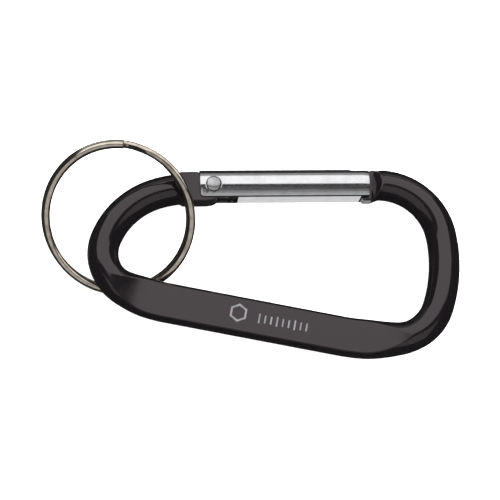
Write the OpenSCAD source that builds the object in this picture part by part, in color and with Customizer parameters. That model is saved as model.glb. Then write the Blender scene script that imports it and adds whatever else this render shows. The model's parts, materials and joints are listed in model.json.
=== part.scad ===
// Keyring carabiner: a bent bar with a sprung gate, and a split ring threaded on its narrow end.
// Millimetres. The origin is the middle of the spine's front flat, +X runs along the spine towards
// the wide end, +Y towards the gate, and +Z out of the flat.

/* [Frame bar] */
// Diameter of the round bar
bar_d = 6; // [5.8:0.1:6.2]
// Length of the straight spine
spine_len = 32.8; // [31.8:0.1:33.8]
// Thickness of the spine where it is pressed flat
spine_t = 3.9; // [3.6:0.1:4.4]
// How much wider than the bar the pressed spine is
spine_spread = 1.64; // [1.2:0.02:1.8]

/* [Gate] */
// Radius of the gate's rounded outer side
gate_r = 3.1; // [3.0:0.05:3.2]
// Distance from the hinge axis to the gate's flat inner side
gate_inner_y = 2.45; // [2.4:0.05:2.5]
// Width of the slot that the hinge tongue sits in
tongue_slot_w = 4.6; // [4.5:0.1:4.8]
// Width of the slot that the latch nose sits in
nose_slot_w = 3.4; // [3.2:0.1:3.6]
// Diameter of the bore that holds the spring
spring_bore_d = 3.2; // [3.1:0.05:3.3]

/* [Hinge rivet] */
// Diameter of the rivet's shank
rivet_d = 1.9; // [1.6:0.1:2.0]
// Diameter of the rivet's domed heads
rivet_head_d = 3.0; // [2.8:0.1:3.2]

/* [Spring and plunger] */
// Diameter of the spring wire
spring_wire_d = 0.36; // [0.3:0.02:0.4]
// Number of turns in the spring
spring_turns = 9; // [7:1:11]
// Diameter of the plunger's head
plunger_head_d = 3.3; // [3.0:0.1:3.4]

/* [Split ring] */
// Outside diameter of the split ring
ring_od = 29.8; // [29.6:0.1:30.2]
// Radial width of the ring's wire
ring_wire_w = 1.8; // [1.6:0.05:1.85]
// Thickness of the ring's wire
ring_wire_t = 1.2; // [1.1:0.05:1.25]
// How far the two coils are off centre from each other
coil_shift = 0.3; // [0:0.05:0.4]

/* [Hidden] */
$fn = 64;
bar_r = bar_d / 2;
half_spine = spine_len / 2;

// The bar's outline, as pieces walked from the middle of the spine. Each piece is
// [bend radius, bend angle or straight length, press at its start, press at its end],
// where press is 1 on the flat spine and 0 on the round bar. A radius of 0 is straight.
wide_end = [
    [0, half_spine, 1, 1],
    [40, 6, 1, 1],
    [40, 10, 1, 0.32],
    [9, 21, 0.32, 0],
    [9, 45, 0, 0],
    [28, 28.5, 0, 0],
    [12, 77.6, 0, 0],
    [0, 1.5, 0, 0],
];
narrow_end = [
    [0, half_spine, 1, 1],
    [30, 6.1, 1, 1],
    [30, 10.2, 1, 0.47],
    [7.5, 36, 0.47, 0],
    [7.5, 48, 0, 0],
    [15, 48.7, 0, 0],
    [20, 19.4, 0, 0],
];

// Where the ends of the bar stand in the gate's own frame: x along the gate from the hinge axis,
// y towards the outside.
neck_end = [-4.82, -0.25];
latch_rise = 0.32;

// Bar ends, in the gate's frame
tongue_t = tongue_slot_w - 0.2;
nose_t = nose_slot_w - 0.2;
neck_flat_x = -6.2;
neck_slope = 2.3;
tongue_end_x = 0.92;
nose_face_x = 30.5;
nose_slope = 2;

// Gate, in its own frame
gate_crown_y = 0.2;
gate_start_x = -2.64;
gate_end_x = 29.7;
web_wall = 0.8;
web_start_x = 4.67;
web_end_x = 28;
tongue_slot_top_y = 1.5;
nose_slot_x = 26.2;
spring_bore_end_x = 13.5;
rivet_seat_z = 2.95;

// Spring and plunger, in the gate's frame
plunger_y = -0.25;
plunger_x = tongue_end_x + 0.03;
plunger_head_l = 2;
plunger_stem_d = 1.5;
plunger_stem_l = 6.5;
spring_d = 2.5;

// Split ring: its centre and the direction of its axis
ring_at = [-28.7, 14.3, 0];
ring_lean = 24;
ring_lean_dir = 74.6;
ring_r = (ring_od - ring_wire_w - coil_shift) / 2;
ring_pitch = ring_wire_t + 0.04;
upper_end_a = -265;
jog_start_a = 72;
jog_end_a = 94;
lower_end_a = 417;
ring_angles = concat(
    [for (k = [0 : 55]) upper_end_a + (jog_start_a - upper_end_a) * k / 56],
    [for (k = [0 : 7]) jog_start_a + (jog_end_a - jog_start_a) * k / 8],
    [for (k = [0 : 54]) jog_end_a + (lower_end_a - jog_end_a) * k / 54]
);

function ease(t) = t * t * (3 - 2 * t);
function turned(p, a) = [p.x * cos(a) - p.y * sin(a), p.x * sin(a) + p.y * cos(a)];
function bearing(p) = atan2(p.y, p.x);

// A pose is [x, y, heading]. The end of a piece that starts at a pose, when a share of it is walked.
function piece_end(pose, piece, share = 1) =
    let (r = piece[0], a = piece[1] * share, h = pose[2])
    r == 0
        ? [pose.x + a * cos(h), pose.y + a * sin(h), h]
        : [pose.x + r * (sin(h + a) - sin(h)), pose.y + r * (cos(h) - cos(h + a)), h + a];

// The pose at the start of piece i, and so at the end of the chain when i is its length
function walk(pieces, i) =
    i == 0 ? [0, 0, 0] : piece_end(walk(pieces, i - 1), pieces[i - 1]);

// Stations along a chain, each [x, y, heading, press], without the one at its start
function stations(pieces) =
    [for (i = [0 : len(pieces) - 1])
        let (
            piece = pieces[i],
            steps = piece[0] == 0 ? 1 : max(piece[2] == piece[3] ? 1 : 5, ceil(piece[1] / 6))
        )
        for (k = [1 : steps])
            let (
                pose = piece_end(walk(pieces, i), piece, k / steps),
                press = piece[2] + (piece[3] - piece[2]) * k / steps
            )
            [pose.x, pose.y, pose[2], ease(press)]];

// The hinge axis and the gate's direction follow from where the two ends of the bar come out.
latch_pose = walk(wide_end, len(wide_end));
neck_pose = walk(narrow_end, len(narrow_end));
neck_heading = 180 - neck_pose[2];
hinge_at = [-neck_pose.x, neck_pose.y] - turned(neck_end, neck_heading);
latch_from_hinge = [latch_pose.x, latch_pose.y] - hinge_at;
gate_angle = bearing(latch_from_hinge) - asin(latch_rise / norm(latch_from_hinge));

// Points along an arc
function arc(centre, r, from, to, steps) =
    [for (k = [0 : steps])
        let (a = from + (to - from) * k / steps)
        centre + r * [cos(a), sin(a)]];

// Outline of a round wire or bar that is pressed flat on two faces, as points: two arcs that are
// spread apart, between flats at plus and minus half_t
function pressed_outline(r, spread, half_t, sides = 24) =
    let (n = sides / 2, reach = asin(half_t / r))
    [for (side = [0, 1])
        for (i = [0 : n - 1])
            let (a = side * 180 - reach + (i + 0.5) * 2 * reach / n)
            [(1 - 2 * side) * spread / 2 + r * cos(a), r * sin(a)]];

// Corners of an outline, each [x, y, radius], with every corner rounded by a short arc
function rounded(corners, steps = 6) =
    [for (i = [0 : len(corners) - 1])
        let (
            n = len(corners),
            c = corners[i],
            here = [c.x, c.y],
            before = corners[(i + n - 1) % n],
            after = corners[(i + 1) % n],
            u = ([before.x, before.y] - here) / norm([before.x, before.y] - here),
            v = ([after.x, after.y] - here) / norm([after.x, after.y] - here),
            half = acos(u * v) / 2,
            centre = here + (u + v) / norm(u + v) * c[2] / sin(half),
            start = bearing(here + u * c[2] / tan(half) - centre),
            turn = (180 - 2 * half) * sign(u.y * v.x - u.x * v.y)
        )
        for (k = [0 : c[2] > 0 ? steps : 0])
            c[2] > 0
                ? centre + c[2] * [cos(start + turn * k / steps), sin(start + turn * k / steps)]
                : here];

// A closed solid through rings of points, all with the same number of points
module loft(rings) {
    n = len(rings[0]);
    last = len(rings) - 1;
    polyhedron(
        points = [for (ring = rings) each ring],
        faces = concat(
            [[for (i = [n - 1 : -1 : 0]) i]],
            [[for (i = [0 : n - 1]) last * n + i]],
            [for (k = [0 : last - 1])
                for (i = [0 : n - 1])
                    let (j = (i + 1) % n)
                    each [[k * n + i, k * n + j, k * n + n + j], [k * n + i, k * n + n + j, k * n + n + i]]]
        )
    );
}

// Everything is built about the bar's middle plane, and this brings the spine's flat to z = 0.
module from_mid_plane() {
    translate([0, 0, -spine_t / 2])
        children();
}

// Places a shape that is drawn in the gate's frame.
module in_gate_frame() {
    from_mid_plane()
        translate([hinge_at.x, hinge_at.y, 0])
            rotate(gate_angle)
                children();
}

// The bent bar, as one solid from the neck round to the latch
module bar() {
    narrow = stations(narrow_end);
    loft([for (s = concat(
            [for (i = [len(narrow) - 1 : -1 : 0])
                let (s = narrow[i])
                [-s.x, s.y, -s[2], s[3]]],
            [[0, 0, 0, 1]],
            stations(wide_end)
        ))
        let (half_t = bar_r - s[3] * (bar_r - spine_t / 2))
        [for (p = pressed_outline(bar_r, s[3] * spine_spread, half_t))
            [s.x + p.x * sin(s[2]), s.y - p.x * cos(s[2]), p.y]]]);
}

// Material taken off both faces of the bar so that a flat of the given thickness is left between
// x0 and x1, with a slope up to the full bar beside it
module flat_cuts(x0, x1, slope_x, thickness) {
    for (side = [0, 1])
        mirror([0, 0, side])
            rotate([90, 0, 0])
                linear_extrude(14, center = true)
                    polygon([
                        [x0, thickness / 2],
                        [x1, thickness / 2],
                        [slope_x, bar_r + 0.01],
                        [slope_x, bar_r + 1],
                        [x0, bar_r + 1],
                    ]);
}

module tongue() {
    linear_extrude(tongue_t, center = true)
        polygon(rounded([
            [neck_flat_x - 0.6, -3.2, 0],
            [tongue_end_x, -3.2, 1.6],
            [tongue_end_x, 1.3, 0.8],
            [gate_start_x - 0.08, 1.3, 0],
            [gate_start_x - 0.08, 2.65, 0.3],
            [neck_flat_x - 0.6, 2.65, 0],
        ]));
}

// The nose hooks over the end of the gate's inner wall, which is the closed stop, and its foot
// reaches through past that wall.
module nose() {
    stop_y = web_wall - gate_inner_y;
    linear_extrude(nose_t, center = true)
        polygon(rounded([
            [nose_slot_x + 0.5, stop_y, 0.4],
            [web_end_x + 0.24, stop_y, 0],
            [web_end_x + 0.24, -3.05, 0.6],
            [31.4, -3.05, 0.3],
            [32.6, -2, 0],
            [32.6, 2.6, 0],
            [30, 2.85, 1],
            [nose_slot_x + 0.5, 1, 0.8],
        ]));
}

module body_frame() {
    color("#2b2a2c")
        difference() {
            union() {
                from_mid_plane()
                    bar();
                in_gate_frame() {
                    tongue();
                    nose();
                }
            }
            in_gate_frame() {
                flat_cuts(tongue_end_x + 1, neck_flat_x, neck_flat_x - neck_slope, tongue_t);
                flat_cuts(nose_slot_x - 1, nose_face_x, nose_face_x + nose_slope, nose_t);
                cylinder(h = 10, d = rivet_d + 0.1, center = true);
            }
        }
}

// The gate's section: a round crown with flanks that close in to a flat inner side. Drawn with
// y towards the outside.
module gate_section() {
    corner_r = 0.5;
    corner = [2.2, corner_r - gate_inner_y];
    crown = [0, gate_crown_y];
    flank_a = bearing(corner - crown) + acos((gate_r - corner_r) / norm(corner - crown));
    polygon(concat(
        arc(crown, gate_r, flank_a, 180 - flank_a, 36),
        arc([-corner.x, corner.y], corner_r, 180 - flank_a, 270, 5),
        arc(corner, corner_r, 270, 360 + flank_a, 5)
    ));
}

// A block from x0 to x1 and y0 to y1, centred on the bar's middle plane
module slot(x0, x1, y0, y1, w) {
    translate([x0, y0, -w / 2])
        cube([x1 - x0, y1 - y0, w]);
}

module gate() {
    below = -gate_inner_y - 1;
    above = gate_crown_y + gate_r + 1;
    web_top = web_wall - gate_inner_y;
    color("#c9cacc")
        in_gate_frame()
            difference() {
                translate([gate_start_x, 0, 0])
                    rotate([90, 0, 90])
                        linear_extrude(gate_end_x - gate_start_x)
                            rotate(-90)
                                gate_section();
                slot(gate_start_x - 1, web_start_x, below, tongue_slot_top_y, tongue_slot_w);
                slot(nose_slot_x, gate_end_x + 1, web_top, above, nose_slot_w);
                slot(web_end_x, gate_end_x + 1, below, web_top, tongue_slot_w);
                translate([web_start_x - 1, plunger_y, 0])
                    rotate([0, 90, 0])
                        cylinder(h = spring_bore_end_x - web_start_x + 1, d = spring_bore_d);
                cylinder(h = 10, d = rivet_d, center = true);
                for (side = [0, 1])
                    mirror([0, 0, side])
                        translate([0, 0, rivet_seat_z])
                            cylinder(h = 2, d = rivet_head_d + 0.2);
            }
}

module hinge_rivet() {
    head_r = rivet_head_d / 2;
    head_h = 0.6;
    dome_r = (head_r * head_r + head_h * head_h) / (2 * head_h);
    color("#d4d4d6")
        in_gate_frame() {
            cylinder(h = 2 * rivet_seat_z, d = rivet_d, center = true);
            for (side = [0, 1])
                mirror([0, 0, side])
                    intersection() {
                        translate([0, 0, rivet_seat_z + head_h - dome_r])
                            sphere(dome_r);
                        translate([0, 0, rivet_seat_z])
                            cylinder(h = head_h + 1, r = head_r);
                    }
        }
}

module spring_plunger() {
    color("#a9a59b")
        in_gate_frame()
            translate([plunger_x, plunger_y, 0])
                rotate([0, 90, 0]) {
                    cylinder(h = plunger_head_l, d = plunger_head_d);
                    cylinder(h = plunger_head_l + plunger_stem_l, d = plunger_stem_d);
                }
}

module gate_spring() {
    sides = 8;
    steps = 14;
    start_x = plunger_x + plunger_head_l + spring_wire_d / 2 + 0.01;
    length = spring_bore_end_x - 0.01 - spring_wire_d / 2 - start_x;
    count = spring_turns * steps;
    color("#b5b1a6")
        in_gate_frame()
            loft([for (k = [0 : count])
                let (turn = 360 * k / steps)
                [for (i = [0 : sides - 1])
                    let (
                        a = 360 * i / sides,
                        r = (spring_d + spring_wire_d * cos(a)) / 2
                    )
                    [
                        start_x + length * k / count + spring_wire_d / 2 * sin(a),
                        plunger_y + r * cos(turn),
                        r * sin(turn)
                    ]]]);
}

// Places a shape that is drawn in the ring's own plane.
module in_ring_frame() {
    from_mid_plane()
        translate(ring_at)
            rotate([0, 0, ring_lean_dir])
                rotate([0, -ring_lean, 0])
                    rotate([0, 0, -ring_lean_dir])
                        children();
}

// How high the ring's wire lies after turning by an angle from its upper end: 1 on the upper coil,
// -1 on the lower coil, and eased between them along the jog
function ring_level(a) =
    1 - 2 * ease(min(1, max(0, (a - jog_start_a) / (jog_end_a - jog_start_a))));

// One length of wire, from the upper coil's end through the jog to the lower coil's end
module split_ring() {
    color("#b9b0a4")
        in_ring_frame()
            loft([for (a = ring_angles)
                let (level = ring_level(a))
                [for (p = pressed_outline(ring_wire_w / 2, 0, ring_wire_t / 2, 16))
                    [
                        level * coil_shift / 2 + (ring_r + p.x) * cos(a),
                        (ring_r + p.x) * sin(a),
                        level * ring_pitch / 2 + p.y
                    ]]]);
}

body_frame();
gate();
hinge_rivet();
spring_plunger();
gate_spring();
split_ring();
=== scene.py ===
"""Keyring carabiner: a bent black bar, a sprung silver gate and a split ring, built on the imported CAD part.

Lengths in the functions are millimetres, and `place` turns them into the frame's metres.
"""

import json
import math

import bmesh
import bpy
from mathutils import Matrix, Vector


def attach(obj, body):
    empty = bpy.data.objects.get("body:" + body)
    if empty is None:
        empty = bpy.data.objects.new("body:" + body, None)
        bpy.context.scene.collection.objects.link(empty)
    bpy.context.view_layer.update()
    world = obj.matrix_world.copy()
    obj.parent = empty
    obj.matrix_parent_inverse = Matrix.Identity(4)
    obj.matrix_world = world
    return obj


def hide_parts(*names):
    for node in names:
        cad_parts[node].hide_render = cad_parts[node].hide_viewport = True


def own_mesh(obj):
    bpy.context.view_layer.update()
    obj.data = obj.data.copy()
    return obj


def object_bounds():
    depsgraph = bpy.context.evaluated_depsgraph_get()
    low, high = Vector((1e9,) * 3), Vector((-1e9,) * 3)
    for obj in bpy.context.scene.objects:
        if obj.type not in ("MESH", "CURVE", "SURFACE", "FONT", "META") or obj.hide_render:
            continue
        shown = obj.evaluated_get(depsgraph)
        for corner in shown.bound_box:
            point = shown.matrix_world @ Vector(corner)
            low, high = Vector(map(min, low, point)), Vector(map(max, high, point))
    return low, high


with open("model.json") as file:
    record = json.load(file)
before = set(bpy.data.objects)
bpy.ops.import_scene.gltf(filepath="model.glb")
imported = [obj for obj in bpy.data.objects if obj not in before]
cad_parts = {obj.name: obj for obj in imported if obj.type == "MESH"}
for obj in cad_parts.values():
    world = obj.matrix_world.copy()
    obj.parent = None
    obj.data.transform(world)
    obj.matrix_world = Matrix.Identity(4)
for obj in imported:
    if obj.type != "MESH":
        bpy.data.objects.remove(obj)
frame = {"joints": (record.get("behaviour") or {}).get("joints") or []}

CAD_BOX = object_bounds()

bl_info = {
    "name": "Keyring carabiner",
    "version": (1, 0, 0),
    "blender": (4, 5, 0),
    "location": "3D View > Sidebar > Carabiner",
    "description": "Builds a keyring carabiner with its split ring, piece by piece",
    "category": "Object",
}

MM = 0.001
JOINTS = {joint["name"]: joint for joint in frame["joints"]}
HINGE = Vector(JOINTS["gate_hinge"]["pos_m"]) / MM
GATE_X = Vector(JOINTS["plunger_slide"]["axis"]).normalized()
GATE_Y = Vector((-GATE_X.y, GATE_X.x, 0))
RING_AT = Vector(JOINTS["ring_swing"]["pos_m"]) / MM
RING_TILT_AXIS = Vector(JOINTS["ring_swing"]["axis"]).normalized()
MID_Z = HINGE.z
UP = Vector((0, 0, 1))

# The bar's outline, walked from the middle of the spine: bend radius (0 is straight), bend angle
# or straight length, and how far it is pressed flat at its start and at its end.
WIDE_END = [
    (40, 6, 1, 1), (40, 10, 1, 0.32), (9, 21, 0.32, 0), (9, 45, 0, 0),
    (28, 28.5, 0, 0), (12, 77.6, 0, 0), (0, 2.05, 0, 0),
]
NARROW_END = [
    (30, 6.1, 1, 1), (30, 10.2, 1, 0.47), (7.5, 36, 0.47, 0), (7.5, 48, 0, 0),
    (15, 48.7, 0, 0), (20, 19.4, 0, 0),
]

# The hinge tongue and the latch nose, in the gate's own frame: where each starts and ends along
# x, its lowest and highest y, and half its thickness. The bar's slope down to the thinner part
# runs from SLOPE's first x to its second.
TONGUE_TIP_X, TONGUE_STEP_X = 0.92, -2.72
TONGUE_LOW_Y, TONGUE_HIGH_Y, TONGUE_TIP_TOP_Y = -3.2, 2.65, 1.3
TONGUE_HALF = 2.2
TONGUE_SLOPE = (-7.6, -5.8)
FOOT_X, FOOT_LOW_Y, HOOK_LOW_Y = 28.24, -3.05, -1.65
NOSE_HALF = 1.6
NOSE_SLOPE = (32.3, 30.2)

# The gate: its two ends, the inner wall between its slots, and the slots' half widths
GATE_START, GATE_END = -2.64, 29.7
WALL_START, WALL_END, WALL_THICKNESS = 4.67, 28.0, 0.8
TONGUE_SLOT_HALF, TONGUE_SLOT_TOP = 2.3, 1.5
NOSE_SLOT_X, NOSE_SLOT_HALF = 26.2, 1.7
SPRING_Y, SPRING_END = -0.25, 13.3

# Outline points round the bar: along each rounded side, round each corner, and across each flat
SIDE_POINTS = 17
CORNER_POINTS = 5
FLAT_POINTS = 9


def linear(hex_colour):
    """An sRGB hex colour as linear red, green and blue."""
    channels = [int(hex_colour[i:i + 2], 16) / 255 for i in (1, 3, 5)]
    return [c / 12.92 if c <= 0.04045 else ((c + 0.055) / 1.055) ** 2.4 for c in channels]


def ease(t):
    return t * t * (3 - 2 * t)


def share(value, start, end):
    """How far value is from start to end, from 0 to 1."""
    return min(1, max(0, (value - start) / (end - start)))


def spaced(start, end, count):
    return [start + (end - start) * k / (count - 1) for k in range(count)]


# ---------------------------------------------------------------- settings


def length(name, about, default):
    return bpy.props.FloatProperty(
        name=name, description=about, default=default * MM, min=0, unit="LENGTH", precision=5
    )


def colour(name, about, hex_colour):
    return bpy.props.FloatVectorProperty(
        name=name, description=about, default=linear(hex_colour), min=0, max=1, subtype="COLOR", size=3
    )


class CarabinerBarSettings(bpy.types.PropertyGroup):
    bar_diameter: length("Bar diameter", "Diameter of the round bar", 5.88)
    spine_length: length("Spine length", "Length of the straight, flat spine", 32.8)
    spine_thickness: length("Spine thickness", "Thickness where the bar is pressed flat", 3.9)
    spine_spread: length("Spine spread", "How much wider the pressed spine is than the bar", 1.64)
    edge_radius: length("Edge radius", "Rounding of the pressed flat's edges", 0.16)
    lacquer: colour("Bar colour", "Dye colour of the anodised bar", "#080708")
    mark: colour("Mark colour", "Colour of the etched mark on the spine", "#5f5f61")


class CarabinerGateSettings(bpy.types.PropertyGroup):
    gate_radius: length("Gate radius", "Radius of the gate's rounded outside", 3.1)
    gate_wall_y: length("Inner side", "Distance from the hinge axis to the gate's flat inner side", 2.45)
    rivet_head: length("Rivet head", "Diameter of the rivet's heads", 3.0)
    metal: colour("Gate colour", "Colour of the bright gate", "#d6d6d8")
    rivet: colour("Rivet colour", "Colour of the rivet", "#c4c4c6")
    spring: colour("Spring colour", "Colour of the spring and its plunger", "#8f8d88")


class CarabinerRingSettings(bpy.types.PropertyGroup):
    outside_diameter: length("Outside diameter", "Outside diameter of the split ring", 29.8)
    wire_width: length("Wire width", "Radial width of the ring's wire", 1.5)
    wire_thickness: length("Wire thickness", "Thickness of the ring's wire", 1.2)
    coil_shift: length("Coil shift", "How far the two coils are off centre from each other", 0.5)
    plating: colour("Ring colour", "Colour of the ring's plating", "#d6cdc1")


class CarabinerStageSettings(bpy.types.PropertyGroup):
    camera_distance: bpy.props.FloatProperty(
        name="Camera distance", description="From the middle of the part to the camera",
        default=0.3, min=0.1, unit="LENGTH",
    )
    tilt_down: bpy.props.FloatProperty(
        name="Camera tilt", description="How far the camera leans towards the spine's side",
        default=math.radians(13), subtype="ANGLE",
    )
    tilt_left: bpy.props.FloatProperty(
        name="Camera lean", description="How far the camera leans towards the ring's side",
        default=math.radians(4), subtype="ANGLE",
    )
    roll: bpy.props.FloatProperty(
        name="Camera roll", description="How far the spine slopes in the view",
        default=math.radians(10.2), subtype="ANGLE",
    )
    floor_colour: colour("Floor colour", "Colour of the paper floor", "#f7f7f7")


# ---------------------------------------------------------------- making meshes


def only(obj):
    """Makes obj the one selected and active object, in object mode."""
    if bpy.context.mode != "OBJECT":
        bpy.ops.object.mode_set(mode="OBJECT")
    bpy.ops.object.select_all(action="DESELECT")
    if obj is not None:
        obj.select_set(True)
        bpy.context.view_layer.objects.active = obj


def place(point):
    """A point in millimetres as metres."""
    return Vector(point) * MM


def in_gate(x, y, z=0):
    """A point of the gate's own frame: x along the gate from the hinge axis, y to the outside."""
    return HINGE + GATE_X * x + GATE_Y * y + UP * z


def sweep(name, rings):
    """A closed solid through rings of points. A disc is extruded once for each ring, and its
    rim is then set to the ring's points."""
    sides = len(rings[0])
    only(None)
    bpy.ops.mesh.primitive_circle_add(
        vertices=sides, radius=1, fill_type="NGON", rotation=(0, math.pi / 2, 0)
    )
    obj = bpy.context.object
    obj.name = obj.data.name = name
    bpy.ops.object.transform_apply(location=False, rotation=True, scale=False)
    bpy.ops.object.mode_set(mode="EDIT")
    bpy.ops.mesh.select_all(action="SELECT")
    bpy.ops.mesh.extrude_repeat(steps=len(rings) - 1, offset=(1, 0, 0))
    mesh = bmesh.from_edit_mesh(obj.data)
    for vert in mesh.verts:
        turn = math.atan2(vert.co.z, vert.co.y) / (2 * math.pi)
        vert.co = place(rings[round(vert.co.x)][round(turn * sides) % sides])
    bmesh.update_edit_mesh(obj.data)
    bpy.ops.mesh.select_all(action="SELECT")
    bpy.ops.mesh.remove_doubles(threshold=0.5e-6)
    bpy.ops.mesh.normals_make_consistent(inside=False)
    bpy.ops.object.mode_set(mode="OBJECT")
    return obj


def block(name, low, high):
    """A box of the gate's frame between two corners, as a cutter."""
    only(None)
    bpy.ops.mesh.primitive_cube_add(size=1)
    obj = bpy.context.object
    obj.name = name
    for vert in obj.data.vertices:
        corner = [high[k] if vert.co[k] > 0 else low[k] for k in range(3)]
        vert.co = place(in_gate(*corner))
    return obj


def rod(name, start, end, radius, sides=40):
    """A round rod between two points, as a cutter."""
    start, end = Vector(start), Vector(end)
    only(None)
    bpy.ops.mesh.primitive_cylinder_add(
        vertices=sides, radius=radius * MM, depth=(end - start).length * MM,
        location=place((start + end) / 2), rotation=(end - start).to_track_quat("Z", "Y").to_euler(),
    )
    obj = bpy.context.object
    obj.name = name
    bpy.ops.object.transform_apply(location=True, rotation=True, scale=True)
    return obj


def modify(obj, kind, **settings):
    """Adds one modifier and applies it."""
    only(obj)
    modifier = obj.modifiers.new(kind.title(), kind)
    for key, value in settings.items():
        setattr(modifier, key, value)
    bpy.ops.object.modifier_apply(modifier=modifier.name)


def cut(obj, cutter):
    """Takes the cutter out of obj."""
    modify(obj, "BOOLEAN", operation="DIFFERENCE", solver="EXACT", object=cutter)
    bpy.data.objects.remove(cutter)


def finish_piece(obj, body, finish, nodes=(), smooth=35):
    """Smooths a piece, gives it its material and says what it rides on and stands for."""
    only(obj)
    bpy.ops.object.mode_set(mode="EDIT")
    bpy.ops.mesh.select_all(action="SELECT")
    bpy.ops.mesh.remove_doubles(threshold=0.5e-6)
    bpy.ops.mesh.normals_make_consistent(inside=False)
    bpy.ops.object.mode_set(mode="OBJECT")
    bpy.ops.object.shade_smooth_by_angle(angle=math.radians(smooth))
    obj.data.materials.clear()
    obj.data.materials.append(finish)
    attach(obj, body)
    if nodes:
        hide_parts(*nodes)
    return obj


# ---------------------------------------------------------------- materials


def add_node(tree, kind, inputs, **settings):
    """Adds a node, with its settings, and each input's value or the socket that feeds it."""
    node = tree.nodes.new(kind)
    for key, value in settings.items():
        setattr(node, key, value)
    for key, value in inputs.items():
        if isinstance(value, bpy.types.NodeSocket):
            tree.links.new(value, node.inputs[key])
        else:
            node.inputs[key].default_value = value
    return node


def start_material(name):
    """A new material's tree, its shader, and its object coordinates."""
    made = bpy.data.materials.new(name)
    made.use_nodes = True
    tree = made.node_tree
    shader = tree.nodes["Principled BSDF"]
    where = add_node(tree, "ShaderNodeTexCoord", {})
    return made, tree, shader, where.outputs["Object"]


def steps(tree, value, stops):
    """A colour ramp through (place, grey or colour) stops."""
    ramp = add_node(tree, "ShaderNodeValToRGB", {"Fac": value})
    elements = ramp.color_ramp.elements
    while len(elements) < len(stops):
        elements.new(0.5)
    for element, (at, shade) in zip(elements, stops):
        element.position = at
        element.color = (*([shade] * 3 if isinstance(shade, (int, float)) else shade), 1)
    return ramp.outputs["Color"]


def anodised_bar(tint):
    """Hard black anodising on aluminium, sealed and glossy. It gives a deep black with a slightly
    soft mirror, a faint mottle where the dye took unevenly, and a few dust specks and nicks."""
    made, tree, shader, where = start_material("Black anodised aluminium")
    mottle = add_node(tree, "ShaderNodeTexNoise", {"Vector": where, "Scale": 1 / (2.5 * MM), "Detail": 4.0})
    grain = add_node(tree, "ShaderNodeTexNoise", {"Vector": where, "Scale": 1 / (0.35 * MM), "Detail": 3.0})
    specks = add_node(tree, "ShaderNodeTexVoronoi", {"Vector": where, "Scale": 1 / (1.6 * MM)})
    speck = steps(tree, specks.outputs["Distance"], [(0.0, 1.0), (0.055, 0.25), (0.075, 0.0)])
    rare = steps(tree, mottle.outputs["Fac"], [(0.56, 0.0), (0.62, 1.0)])
    dust = add_node(tree, "ShaderNodeMath", {0: speck, 1: rare}, operation="MULTIPLY")
    base = add_node(
        tree, "ShaderNodeMix",
        {"Factor": mottle.outputs["Fac"], "A": (*tint, 1), "B": (*[c * 1.5 for c in tint], 1)},
        data_type="RGBA",
    )
    dusty = add_node(
        tree, "ShaderNodeMix",
        {"Factor": dust.outputs[0], "A": base.outputs["Result"], "B": (*linear("#3c3b3a"), 1)},
        data_type="RGBA",
    )
    tree.links.new(dusty.outputs["Result"], shader.inputs["Base Color"])
    gloss = add_node(
        tree, "ShaderNodeMapRange",
        {"Value": mottle.outputs["Fac"], "From Min": 0.3, "From Max": 0.7, "To Min": 0.07, "To Max": 0.12},
    )
    tree.links.new(gloss.outputs["Result"], shader.inputs["Roughness"])
    relief = add_node(
        tree, "ShaderNodeBump", {"Height": grain.outputs["Fac"], "Strength": 0.06, "Distance": 0.01 * MM}
    )
    tree.links.new(relief.outputs["Normal"], shader.inputs["Normal"])
    shader.inputs["Metallic"].default_value = 0.0
    shader.inputs["IOR"].default_value = 1.55
    shader.inputs["Specular Tint"].default_value = (1.0, 0.9, 0.93, 1)
    return made


def drawn_metal(name, tint, dark, roughness, line_mm, along=None, strength=0.25):
    """A bright metal that was drawn or polished one way. It gives a near mirror, cut by fine lines
    along the piece, and a slight change of tone from place to place."""
    made, tree, shader, where = start_material(name)
    turn = math.atan2(along.y, along.x) if along else 0
    fine, line_run_mm = 1 / (line_mm * MM), 14
    stretch = (1 / (line_run_mm * MM) if along else fine, fine, fine)
    turned = add_node(
        tree, "ShaderNodeVectorRotate", {"Vector": where, "Angle": -turn}, rotation_type="Z_AXIS"
    )
    lined = add_node(
        tree, "ShaderNodeVectorMath", {0: turned.outputs[0], 1: stretch}, operation="MULTIPLY"
    )
    lines = add_node(tree, "ShaderNodeTexNoise", {"Vector": lined.outputs[0], "Scale": 1.0, "Detail": 2.0})
    tone = add_node(tree, "ShaderNodeTexNoise", {"Vector": where, "Scale": 1 / (1.8 * MM), "Detail": 3.0})
    worn = steps(tree, tone.outputs["Fac"], [(0.35, 0.0), (0.75, 1.0)])
    mixed = add_node(
        tree, "ShaderNodeMix", {"Factor": worn, "A": (*tint, 1), "B": (*dark, 1)}, data_type="RGBA"
    )
    tree.links.new(mixed.outputs["Result"], shader.inputs["Base Color"])
    gloss = add_node(
        tree, "ShaderNodeMapRange",
        {"Value": lines.outputs["Fac"], "From Min": 0.3, "From Max": 0.7,
         "To Min": roughness * 0.8, "To Max": roughness * 1.3},
    )
    tree.links.new(gloss.outputs["Result"], shader.inputs["Roughness"])
    relief = add_node(
        tree, "ShaderNodeBump",
        {"Height": lines.outputs["Fac"], "Strength": strength, "Distance": 0.01 * MM},
    )
    tree.links.new(relief.outputs["Normal"], shader.inputs["Normal"])
    shader.inputs["Metallic"].default_value = 1.0
    return made


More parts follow.
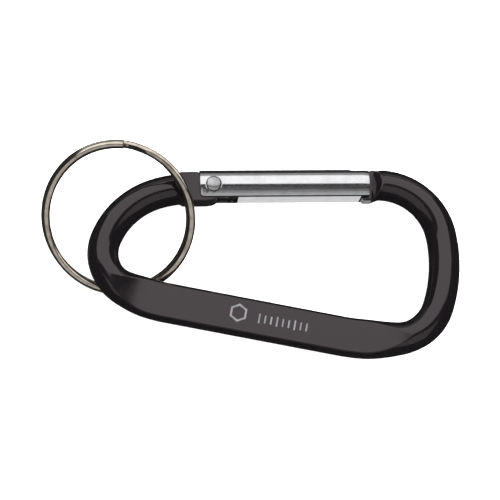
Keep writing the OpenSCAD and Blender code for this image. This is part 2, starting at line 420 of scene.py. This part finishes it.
def etched_metal(tint):
    """Bare aluminium where a laser burnt the dye off. It gives a pale, matt grey with a fine
    hatch from the beam's passes, drawn at 0.25 mm so that it shows."""
    made, tree, shader, where = start_material("Laser-etched aluminium")
    hatch = add_node(
        tree, "ShaderNodeTexWave", {"Vector": where, "Scale": 1 / (0.25 * MM) / 20, "Distortion": 0.6}
    )
    mixed = add_node(
        tree, "ShaderNodeMix",
        {"Factor": hatch.outputs["Fac"], "A": (*tint, 1), "B": (*[c * 0.72 for c in tint], 1)},
        data_type="RGBA",
    )
    tree.links.new(mixed.outputs["Result"], shader.inputs["Base Color"])
    shader.inputs["Metallic"].default_value = 0.2
    shader.inputs["Roughness"].default_value = 0.55
    return made


def paper(tint):
    """Matt white studio paper. It gives an even, shadowless ground with the faintest tooth."""
    made, tree, shader, where = start_material("Matt white paper")
    tooth = add_node(tree, "ShaderNodeTexNoise", {"Vector": where, "Scale": 1 / (0.8 * MM), "Detail": 2.0})
    relief = add_node(
        tree, "ShaderNodeBump", {"Height": tooth.outputs["Fac"], "Strength": 0.05, "Distance": 0.02 * MM}
    )
    tree.links.new(relief.outputs["Normal"], shader.inputs["Normal"])
    shader.inputs["Base Color"].default_value = (*tint, 1)
    shader.inputs["Roughness"].default_value = 0.9
    return made


# ---------------------------------------------------------------- the bar


def clipped_circle(radius, spread, half_t, edge):
    """Outline of a round bar pressed to plus and minus half_t, from the lower outside corner round
    to the lower inside one and back. Each point is (outwards, up)."""
    widest = math.radians(68)
    reach = math.asin(min(1, half_t / radius))
    if reach < widest:
        rounding = edge * min(1, (widest - reach) / math.radians(12)) + 0.02
        lift = half_t - rounding
        run = spread / 2 + math.sqrt((radius - rounding) ** 2 - lift ** 2)
        meet = math.atan2(lift, run - spread / 2)
        corner = [
            (run + rounding * math.cos(a), lift + rounding * math.sin(a))
            for a in spaced(meet, math.pi / 2, CORNER_POINTS)
        ]
        hold = run - 0.12
        flat = [(x, half_t) for x in spaced(hold, -hold, FLAT_POINTS)]
        meet -= 0.04
    else:
        meet = widest - 0.04
        angles = spaced(widest, widest + 0.1, CORNER_POINTS)
        inner = spaced(widest + 0.13, math.pi - widest - 0.13, FLAT_POINTS)
        corner = [(spread / 2 + radius * math.cos(a), min(half_t, radius * math.sin(a))) for a in angles]
        across = spread / 2 / math.cos(inner[0])
        flat = [((across + radius) * math.cos(a), min(half_t, radius * math.sin(a))) for a in inner]
    turns = spaced(-meet, meet, SIDE_POINTS)
    side = [(spread / 2 + radius * math.cos(a), radius * math.sin(a)) for a in turns]
    return whole_outline(side, corner, flat)


def rounded_slab(y0, y1, half_t, edge):
    """Outline of a slab from y0 to y1, with the same points as clipped_circle."""
    middle, half_w = (y0 + y1) / 2, (y1 - y0) / 2
    edge = min(edge, half_w * 0.9)
    run, lift = half_w - edge, half_t - edge
    side = [(half_w, z) for z in spaced(-lift + 0.06, lift - 0.06, SIDE_POINTS)]
    corner = [
        (run + edge * math.cos(a), lift + edge * math.sin(a)) for a in spaced(0, math.pi / 2, CORNER_POINTS)
    ]
    flat = [(x, half_t) for x in spaced(run * 0.96, -run * 0.96, FLAT_POINTS)]
    return [(x + middle, z) for x, z in whole_outline(side, corner, flat)]


def whole_outline(side, corner, flat):
    """The four sides of an outline from its outer side, its upper outer corner and its top."""
    upper = side + corner + flat + [(-x, z) for x, z in reversed(corner)]
    return upper + [(-x, -z) for x, z in upper]


def between(first, second, t):
    return [(a + (c - a) * t, b + (d - b) * t) for (a, b), (c, d) in zip(first, second)]


def walk(pieces, half_spine):
    """Stations along one end of the bar, from the end of the spine: x, y, heading and press."""
    x, y, heading = half_spine, 0.0, 0.0
    found = [(x, y, heading, 1.0)]
    for radius, amount, press_in, press_out in pieces:
        count = math.ceil((radius * math.radians(amount) if radius else amount) / 0.3)
        for k in range(1, count + 1):
            part = amount * k / count
            if radius:
                at = heading + math.radians(part)
                spot = (
                    x + radius * (math.sin(at) - math.sin(heading)),
                    y + radius * (math.cos(heading) - math.cos(at)),
                )
            else:
                at = heading
                spot = (x + part * math.cos(at), y + part * math.sin(at))
            found.append((*spot, at, ease(press_in + (press_out - press_in) * k / count)))
        x, y, heading, _ = found[-1]
    return found


def arc_drop(x, centre, radius):
    """How far a circle's edge at x has dropped from its top, for x past its centre."""
    return radius - math.sqrt(max(0, radius ** 2 - max(0, x - centre) ** 2))


def tongue_limits(x):
    """Lowest and highest y of the hinge tongue at x of the gate's frame."""
    tip_run, tip_rise, tip_corner, step_corner = 2.2, 1.3, 0.8, 0.3
    past = max(0, x - TONGUE_TIP_X + tip_run) / tip_run
    low = TONGUE_LOW_Y + tip_rise * (1 - math.sqrt(max(0, 1 - past ** 2)))
    if x < TONGUE_STEP_X:
        high = TONGUE_HIGH_Y - arc_drop(x, TONGUE_STEP_X - step_corner, step_corner)
    else:
        high = TONGUE_TIP_TOP_Y - arc_drop(x, TONGUE_TIP_X - tip_corner, tip_corner)
    return low, high


def nose_limits(x):
    """Lowest and highest y of the latch nose at x of the gate's frame."""
    foot_corner, hook_corner, hook_x = 0.6, 0.4, 26.7
    if x > FOOT_X:
        low = FOOT_LOW_Y + arc_drop(-x, -FOOT_X - foot_corner, foot_corner)
        low += max(0, x - 31.2) * 0.7
    else:
        low = HOOK_LOW_Y + arc_drop(-x, -hook_x - hook_corner, hook_corner)
    high = 2.85 - max(0, 30 - x) * 0.56 - max(0, x - 30) * 0.1
    return low, high


class CARABINER_OT_bar(bpy.types.Operator):
    """Build the bent bar, with its pressed spine, its hinge tongue and its latch nose"""

    bl_idname = "carabiner.bar"
    bl_label = "Bar"

    def execute(self, context):
        sizes = context.scene.carabiner_bar
        radius = sizes.bar_diameter / MM / 2
        thin = sizes.spine_thickness / MM / 2
        spread = sizes.spine_spread / MM
        edge = sizes.edge_radius / MM
        half_spine = sizes.spine_length / MM / 2

        def bar_ring(x, y, heading, press, side):
            """The bar's outline at one station, cut thinner near the tongue and the nose."""
            spot = Vector((side * x, y, MID_Z))
            out = Vector((side * math.sin(heading), -math.cos(heading), 0))
            offset = spot - HINGE
            gx, gy = offset.dot(GATE_X), offset.dot(GATE_Y)
            half_t = radius - press * (radius - thin)
            slab = None
            if side < 0 and gy > -4 and gx > -9:
                t = share(gx, *TONGUE_SLOPE)
                half_t = min(half_t, radius + (TONGUE_HALF - radius) * t)
                slab = rounded_slab(TONGUE_LOW_Y - gy, TONGUE_HIGH_Y - gy, half_t, 0.35)
                blend = ease(t)
            elif side > 0 and gy > -4 and gx < 33:
                t = share(gx, *NOSE_SLOPE)
                half_t = min(half_t, radius + (NOSE_HALF - radius) * t)
                low, high = nose_limits(gx)
                slab = rounded_slab(low - gy, high - gy, half_t, 0.3)
                blend = t
            outline = clipped_circle(radius, press * spread, half_t, edge)
            if slab:
                outline = between(outline, slab, blend)
            return [spot + out * a + UP * b for a, b in outline]

        def gate_ring(x, low, high, half_t, inset=0.0):
            outline = rounded_slab(low + inset, high - inset, half_t - inset, 0.3)
            return [in_gate(x, a, b) for a, b in outline]

        back_from_tip = [0, 0.02, 0.07, 0.17, 0.32, 0.52, 0.82, 1.22, 2.42, 3.52]
        past_step = [-0.01, 0.01, 0.06, 0.16, 0.3, 0.78]
        tongue_x = [TONGUE_TIP_X - d for d in back_from_tip] + [TONGUE_STEP_X - d for d in past_step]
        rings = [
            gate_ring(x, *tongue_limits(x), TONGUE_HALF, 0.25 * share(x, 0.7, TONGUE_TIP_X))
            for x in tongue_x
        ]
        narrow = walk(NARROW_END, half_spine)
        rings += [bar_ring(*station, -1) for station in reversed(narrow)]
        rings += [bar_ring(x, 0.0, 0.0, 1.0, 1) for x in spaced(-half_spine, half_spine, 9)[1:-1]]
        rings += [bar_ring(*station, 1) for station in walk(WIDE_END, half_spine)]
        nose_x = [30.1, 29.6, 29.0, 28.7, 28.5, 28.35, 28.25, 28.24, 28.2, 27.6, 27.1, 26.9, 26.75, 26.7]
        rings += [gate_ring(x, *nose_limits(x), NOSE_HALF, 0.2 * share(x, 26.9, 26.7)) for x in nose_x]
        obj = sweep("bar", rings)
        cut(obj, rod("rivet_hole", in_gate(0, 0, -4), in_gate(0, 0, 4), 1.0))
        finish_piece(obj, "frame", anodised_bar(sizes.lacquer), ["body_frame"], 40)
        return {"FINISHED"}


class CARABINER_OT_spine_mark(bpy.types.Operator):
    """Build the plain mark that is etched on the spine: a small hexagon and a row of upright bars"""

    bl_idname = "carabiner.spine_mark"
    bl_label = "Spine mark"

    def execute(self, context):
        sizes = context.scene.carabiner_bar
        film = 0.012
        only(None)
        bpy.ops.mesh.primitive_circle_add(
            vertices=6, radius=1.75 * MM, fill_type="NGON", location=place((-3.1, 0.35, 0.003))
        )
        icon = bpy.context.object
        bpy.ops.object.mode_set(mode="EDIT")
        bpy.ops.mesh.select_all(action="SELECT")
        bpy.ops.mesh.inset(thickness=0.36 * MM)
        bpy.ops.mesh.delete(type="FACE")
        bpy.ops.mesh.select_all(action="SELECT")
        bpy.ops.mesh.extrude_region_move(TRANSFORM_OT_translate={"value": (0, 0, film * MM)})
        bpy.ops.object.mode_set(mode="OBJECT")
        bars = [icon]
        for k in range(9):
            only(None)
            bpy.ops.mesh.primitive_plane_add(size=1, location=place((0.9 + 1.12 * k, 0.0, 0.003)))
            bar = bpy.context.object
            bar.scale = (0.3 * MM, (1.5 if k % 3 else 1.9) * MM, 1)
            bpy.ops.object.transform_apply(location=False, rotation=False, scale=True)
            bpy.ops.object.mode_set(mode="EDIT")
            bpy.ops.mesh.select_all(action="SELECT")
            bpy.ops.mesh.bevel(offset=0.1 * MM, segments=2, affect="VERTICES")
            bpy.ops.mesh.select_all(action="SELECT")
            bpy.ops.mesh.extrude_region_move(TRANSFORM_OT_translate={"value": (0, 0, film * MM)})
            bpy.ops.object.mode_set(mode="OBJECT")
            bars.append(bar)
        only(icon)
        for bar in bars:
            bar.select_set(True)
        bpy.ops.object.join()
        obj = bpy.context.object
        obj.name = obj.data.name = "spine_mark"
        bpy.ops.object.transform_apply(location=True, rotation=True, scale=True)
        finish_piece(obj, "frame", etched_metal(sizes.mark))
        return {"FINISHED"}


# ---------------------------------------------------------------- the gate


def gate_outline(radius, inner_y):
    """The gate's section as (y, z) points: a round crown, two flanks that close in, and a flat."""
    corner_r, corner = 0.5, Vector((2.2, 0.5 - inner_y))
    crown = Vector((0, 0.2))
    span = corner - crown
    flank = math.atan2(span.y, span.x) + math.acos((radius - corner_r) / span.length)
    points = []
    for angle in spaced(flank, math.pi - flank, 61):
        points.append((crown.y + radius * math.sin(angle), radius * math.cos(angle)))
    for angle in spaced(math.pi - flank, 1.5 * math.pi, 8):
        points.append((corner.y + corner_r * math.sin(angle), -corner.x + corner_r * math.cos(angle)))
    for angle in spaced(1.5 * math.pi, 2 * math.pi + flank, 8):
        points.append((corner.y + corner_r * math.sin(angle), corner.x + corner_r * math.cos(angle)))
    return points


class CARABINER_OT_gate(bpy.types.Operator):
    """Build the gate, with its slots for the tongue and the nose and its rivet seats"""

    bl_idname = "carabiner.gate"
    bl_label = "Gate"

    def execute(self, context):
        sizes = context.scene.carabiner_gate
        inner_y = sizes.gate_wall_y / MM
        outline = gate_outline(sizes.gate_radius / MM, inner_y)
        start, end, bevel, toe = GATE_START, GATE_END, 0.18, 1.2

        def gate_ring(x, inset):
            """The section at x, drawn in by inset, with the inner corner of the hinge end rounded."""
            floor_y = -inner_y + inset
            back = max(0, toe - (x - start))
            floor_y += toe - math.sqrt(max(0, toe * toe - back * back))
            squeeze = 1 - inset / 3.1
            return [in_gate(x, max(floor_y, y * squeeze), z * squeeze) for y, z in outline]

        rim = [(0.0, bevel), (bevel * 0.3, bevel * 0.4), (bevel, 0.0)]
        rings = [gate_ring(start + dx, inset) for dx, inset in rim]
        rings += [gate_ring(x, 0.0) for x in spaced(start + bevel + 0.1, start + toe, 7)]
        rings += [gate_ring(x, 0.0) for x in spaced(start + toe + 1, end - bevel - 1, 12)]
        rings += [gate_ring(end - dx, inset) for dx, inset in reversed(rim)]
        obj = sweep("gate_shell", rings)
        wall_top, wide, narrow = WALL_THICKNESS - inner_y, TONGUE_SLOT_HALF, NOSE_SLOT_HALF
        cut(obj, block("tongue_slot", (start - 1, -4, -wide), (WALL_START, TONGUE_SLOT_TOP, wide)))
        cut(obj, block("nose_slot", (NOSE_SLOT_X, wall_top, -narrow), (end + 1, 5, narrow)))
        cut(obj, block("wall_end", (WALL_END, -4, -wide), (end + 1, wall_top, wide)))
        cut(obj, rod("spring_bore", in_gate(3, SPRING_Y), in_gate(SPRING_END + 0.2, SPRING_Y), 1.6))
        cut(obj, rod("rivet_hole", in_gate(0, 0, -5), in_gate(0, 0, 5), 0.97))
        for side in (-1, 1):
            cut(obj, rod("rivet_seat", in_gate(0, 0, side * 2.95), in_gate(0, 0, side * 5), 1.6))
        sharp = math.radians(50)
        modify(obj, "BEVEL", width=0.07 * MM, segments=2, limit_method="ANGLE", angle_limit=sharp)
        finish = drawn_metal(
            "Bright drawn aluminium", sizes.metal, [c * 0.88 for c in sizes.metal], 0.14, 0.09, GATE_X
        )
        finish_piece(obj, "gate", finish, ["gate"], 32)
        return {"FINISHED"}


class CARABINER_OT_rivet(bpy.types.Operator):
    """Build the hinge rivet, with a low domed head on each side"""

    bl_idname = "carabiner.rivet"
    bl_label = "Hinge rivet"

    def execute(self, context):
        sizes = context.scene.carabiner_gate
        head, shank, seat = sizes.rivet_head / MM / 2, 0.95, 2.95
        half = [(0.02, 3.5), (0.3, 3.495), (0.6, 3.47), (0.85, 3.43), (1.05, 3.37), (1.25, 3.29)]
        half += [(head - 0.1, 3.19), (head - 0.02, 3.08), (head, seat + 0.02)]
        half += [(head - 0.04, seat), (shank, seat)]
        profile = half + [(r, -z) for r, z in reversed(half)]
        turns = [2 * math.pi * k / 40 for k in range(40)]
        rings = [[in_gate(r * math.cos(a), r * math.sin(a), z) for a in turns] for r, z in profile]
        obj = sweep("rivet", rings)
        finish = drawn_metal("Peened mild steel", sizes.rivet, linear("#8c8b8c"), 0.26, 0.5, None, 0.3)
        finish_piece(obj, "gate", finish, ["hinge_rivet"], 50)
        return {"FINISHED"}


class CARABINER_OT_spring(bpy.types.Operator):
    """Build the plunger and the coil spring that close the gate"""

    bl_idname = "carabiner.spring"
    bl_label = "Spring and plunger"

    def execute(self, context):
        sizes = context.scene.carabiner_gate
        finish = drawn_metal("Drawn spring steel", sizes.spring, linear("#5f5c57"), 0.3, 0.2, GATE_X)
        turns = [2 * math.pi * k / 28 for k in range(28)]
        start, head, stem = 0.95, 1.65, 0.75
        profile = [(0.1, 0.02), (head - 0.45, 0.0), (head - 0.12, 0.06), (head, 0.2), (head, 1.86)]
        profile += [(head - 0.12, 1.98), (stem, 2.0), (stem, 8.3), (stem - 0.2, 8.5)]
        rings = [
            [in_gate(start + x, SPRING_Y + r * math.cos(a), r * math.sin(a)) for a in turns]
            for r, x in profile
        ]
        plunger = sweep("plunger", rings)
        finish_piece(plunger, "plunger", finish, ["spring_plunger"], 40)

        wire, coil_r, first, last, coils, per_turn = 0.18, 1.25, 3.15, SPRING_END, 9, 24
        rings = []
        for k in range(coils * per_turn + 1):
            turn = 2 * math.pi * k / per_turn
            along = first + (last - first) * k / (coils * per_turn)
            section = []
            for i in range(10):
                a = 2 * math.pi * i / 10
                r = coil_r + wire * math.cos(a)
                across = SPRING_Y + r * math.cos(turn)
                section.append(in_gate(along + wire * math.sin(a), across, r * math.sin(turn)))
            rings.append(section)
        spring = sweep("spring", rings)
        finish_piece(spring, "gate", finish, ["gate_spring"], 60)
        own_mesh(spring)
        return {"FINISHED"}


# ---------------------------------------------------------------- the ring


class CARABINER_OT_split_ring(bpy.types.Operator):
    """Build the split ring from one length of flattened wire, with the jog between its coils"""

    bl_idname = "carabiner.split_ring"
    bl_label = "Split ring"

    def execute(self, context):
        sizes = context.scene.carabiner_ring
        width, thick = sizes.wire_width / MM, sizes.wire_thickness / MM
        shift = sizes.coil_shift / MM
        radius = (sizes.outside_diameter / MM - width - shift) / 2
        pitch = thick + 0.04
        lean = math.radians(24)
        upper_end, jog_start, jog_end, lower_end = -265, 72, 94, 417

        tilt = Matrix.Rotation(lean, 3, RING_TILT_AXIS)

        def wire_ring(angle, inset=0.0):
            level = 1 - 2 * ease(share(angle, jog_start, jog_end))
            a = math.radians(angle)
            section = wire_outline(width / 2 - inset, thick / 2 - inset)
            points = []
            for out, up in section:
                flat = Vector((
                    level * shift / 2 + (radius + out) * math.cos(a),
                    (radius + out) * math.sin(a),
                    level * pitch / 2 + up,
                ))
                points.append(RING_AT + tilt @ flat)
            return points

        angles = spaced(upper_end + 0.4, jog_start, 170) + spaced(jog_start, jog_end, 15)[1:-1]
        angles += spaced(jog_end, lower_end - 0.4, 163)
        rings = [wire_ring(upper_end, 0.12)] + [wire_ring(a) for a in angles] + [wire_ring(lower_end, 0.12)]
        obj = sweep("ring", rings)
        finish = drawn_metal(
            "Nickel-plated spring steel", sizes.plating, linear("#a69c8e"), 0.1, 0.5, None, 0.06
        )
        finish_piece(obj, "ring", finish, ["split_ring"], 50)
        return {"FINISHED"}


def wire_outline(half_w, half_t):
    """The section of a wire rolled to a low oval, as (outwards, up) points."""
    turns = [2 * math.pi * k / 28 for k in range(28)]
    return [(half_w * math.cos(a), half_t * math.sin(a)) for a in turns]


# ---------------------------------------------------------------- the stage


class CARABINER_OT_stage(bpy.types.Operator):
    """Set up the paper floor, the softboxes and the camera"""

    bl_idname = "carabiner.stage"
    bl_label = "Stage"

    def execute(self, context):
        sizes = context.scene.carabiner_stage
        low, high = CAD_BOX
        roll = Matrix.Rotation(sizes.roll, 3, "Z")
        middle = place((-3.055, 12.981, MID_Z))

        only(None)
        bpy.ops.mesh.primitive_grid_add(
            x_subdivisions=8, y_subdivisions=8, size=6, location=(0, 0, low.z - 0.2 * MM)
        )
        floor = bpy.context.object
        floor.name = floor.data.name = "paper_floor"
        bpy.ops.object.transform_apply(location=True, rotation=True, scale=True)
        floor.data.materials.append(paper(sizes.floor_colour))
        floor.visible_glossy = False

        def panel(name, toward, away, width, height, radiance, aim=middle, seen_in_gloss=True):
            """A soft panel that faces a point of the part. Its radiance is the brightness it shows."""
            only(None)
            direction = roll @ Vector(toward).normalized()
            bpy.ops.object.light_add(type="AREA", location=aim + direction * away)
            lamp = bpy.context.object
            lamp.name = name
            lamp.rotation_euler = direction.to_track_quat("Z", "Y").to_euler()
            lamp.data.shape = "RECTANGLE"
            lamp.data.size, lamp.data.size_y = width, height
            lamp.data.energy = radiance * width * height * math.pi
            lamp.visible_glossy = seen_in_gloss
            lamp.visible_camera = False
            return lamp

        panel("back_softbox", (0, 0.595, 0.804), 0.38, 0.8, 0.466, 1.35)
        panel("back_wall_glow", (0, 0.985, 0.174), 0.5, 1.0, 0.21, 0.35)
        gate_wall = place(in_gate(17, -2.5))
        panel("under_card", (0, -0.2, -1), 5.5 * MM, 28 * MM, 7 * MM, 0.8, aim=gate_wall)
        panel("front_fill", (0, -0.581, 0.814), 0.5, 1.0, 0.456, 0.55)
        panel("floor_light", (0, 0, 1), 0.8, 1.6, 1.6, 5.5, seen_in_gloss=False)

        world = bpy.data.worlds.new("Dim studio")
        context.scene.world = world
        world.use_nodes = True
        backdrop = world.node_tree.nodes["Background"]
        backdrop.inputs["Color"].default_value = (1, 1, 1, 1)
        backdrop.inputs["Strength"].default_value = 0.04
        context.scene.view_settings.view_transform = "Standard"

        towards = Vector((-math.sin(sizes.tilt_left), -math.sin(sizes.tilt_down), 0))
        towards.z = math.sqrt(1 - towards.length_squared)
        right = Vector((0, 1, 0)).cross(towards).normalized()
        up = towards.cross(right)
        axes = roll @ Matrix((right, up, towards)).transposed()
        bpy.ops.object.camera_add()
        camera = bpy.context.object
        camera.name = "main_camera"
        spot = middle + axes @ Vector((0, 0, sizes.camera_distance))
        camera.matrix_world = Matrix.Translation(spot) @ axes.to_4x4()
        camera.data.lens = 114.4
        camera.data.sensor_width = 36
        camera.data.clip_start = 0.01
        context.scene.camera = camera
        return {"FINISHED"}


class CARABINER_PT_panel(bpy.types.Panel):
    """Lists the pieces and their settings"""

    bl_idname = "CARABINER_PT_panel"
    bl_label = "Keyring carabiner"
    bl_space_type = "VIEW_3D"
    bl_region_type = "UI"
    bl_category = "Carabiner"

    def draw(self, context):
        layout = self.layout
        for group, operators in GROUPS.items():
            box = layout.box()
            settings = getattr(context.scene, group)
            for name in settings.__annotations__:
                box.prop(settings, name)
            for operator in operators:
                box.operator(operator.bl_idname)


GROUPS = {
    "carabiner_bar": [CARABINER_OT_bar, CARABINER_OT_spine_mark],
    "carabiner_gate": [CARABINER_OT_gate, CARABINER_OT_rivet, CARABINER_OT_spring],
    "carabiner_ring": [CARABINER_OT_split_ring],
    "carabiner_stage": [CARABINER_OT_stage],
}
SETTINGS = {
    "carabiner_bar": CarabinerBarSettings,
    "carabiner_gate": CarabinerGateSettings,
    "carabiner_ring": CarabinerRingSettings,
    "carabiner_stage": CarabinerStageSettings,
}


def register():
    for name, kind in SETTINGS.items():
        bpy.utils.register_class(kind)
        setattr(bpy.types.Scene, name, bpy.props.PointerProperty(type=kind))
    for operators in GROUPS.values():
        for operator in operators:
            bpy.utils.register_class(operator)
    bpy.utils.register_class(CARABINER_PT_panel)


def unregister():
    bpy.utils.unregister_class(CARABINER_PT_panel)
    for operators in GROUPS.values():
        for operator in operators:
            bpy.utils.unregister_class(operator)
    for name, kind in SETTINGS.items():
        delattr(bpy.types.Scene, name)
        bpy.utils.unregister_class(kind)


def main():
    register()
    bpy.ops.carabiner.bar()
    bpy.ops.carabiner.spine_mark()
    bpy.ops.carabiner.gate()
    bpy.ops.carabiner.rivet()
    bpy.ops.carabiner.spring()
    bpy.ops.carabiner.split_ring()
    bpy.ops.carabiner.stage()


if __name__ == "__main__":
    main()
